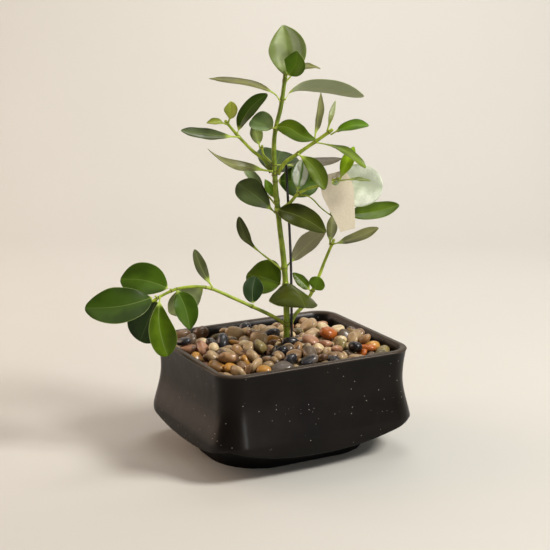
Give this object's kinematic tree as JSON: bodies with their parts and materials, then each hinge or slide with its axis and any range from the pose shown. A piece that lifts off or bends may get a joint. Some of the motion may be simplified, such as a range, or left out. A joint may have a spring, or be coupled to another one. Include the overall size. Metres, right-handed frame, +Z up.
{
  "type": "potted plant",
  "caption": "Young clusia with thick oval leaves on a thin green stem, in a low waisted black ceramic planter topped with river pebbles.",
  "frame": {"origin": "centre of the planter's flat foot, on the surface it stands on", "axes": "+Z up; +X along the planter's long side, away from the low spreading branch; -Y out of the long face the hang tag looks over"},
  "size_m": [0.34, 0.2104, 0.477],
  "materials": {
    "ceramic": "satin",
    "soil": "matte",
    "river_stone": "satin",
    "green_stem": "satin",
    "leaf": "satin",
    "stake": "satin",
    "card": "matte"
  },
  "bodies": {
    "root": {"planter": "ceramic", "potting_soil": "soil", "pebble_bed": "river_stone", "main_stem": "green_stem", "branch_low_left": "green_stem", "branch_low_right": "green_stem", "branch_mid_left": "green_stem", "branch_mid_right": "green_stem", "twig_tag": "green_stem", "twig_thin": "green_stem", "twig_young": "green_stem", "support_stake": "stake", "hang_tag": "card", "leaf_top_large": "leaf", "leaf_top_front": "leaf", "leaf_top_narrow": "leaf", "leaf_crown_left": "leaf", "leaf_crown_right": "leaf", "leaf_upper_front": "leaf", "leaf_upper_back": "leaf", "leaf_young": "leaf", "leaf_left_tip_upper": "leaf", "leaf_left_tip_outer": "leaf", "leaf_left_dark": "leaf", "leaf_left_outer": "leaf", "leaf_mid_twisted": "leaf", "leaf_mid_back": "leaf", "leaf_mid_back_right": "leaf", "leaf_mid_far_right": "leaf", "leaf_right_hanging": "leaf", "leaf_right_upright": "leaf", "leaf_right_arching": "leaf", "leaf_right_tip": "leaf", "leaf_right_small": "leaf", "leaf_twig_glossy": "leaf", "leaf_tag_upright": "leaf", "leaf_tag_side": "leaf", "leaf_tag_round": "leaf", "leaf_tag_lower": "leaf", "leaf_left_broad": "leaf", "leaf_left_small": "leaf", "leaf_left_wedge": "leaf", "leaf_right_broad": "leaf", "leaf_spoon": "leaf", "leaf_right_underside": "leaf", "leaf_low_left_broad": "leaf", "leaf_low_front": "leaf", "leaf_low_right_round": "leaf", "leaf_low_right_narrow": "leaf", "leaf_low_right_tip": "leaf", "leaf_low_right_back": "leaf", "leaf_low_slate": "leaf", "leaf_low_upright": "leaf", "leaf_low_blue": "leaf", "leaf_low_bright": "leaf", "leaf_low_back": "leaf", "leaf_low_outer": "leaf", "leaf_low_dark": "leaf", "leaf_low_hanging": "leaf"}
  },
  "joints": []
}
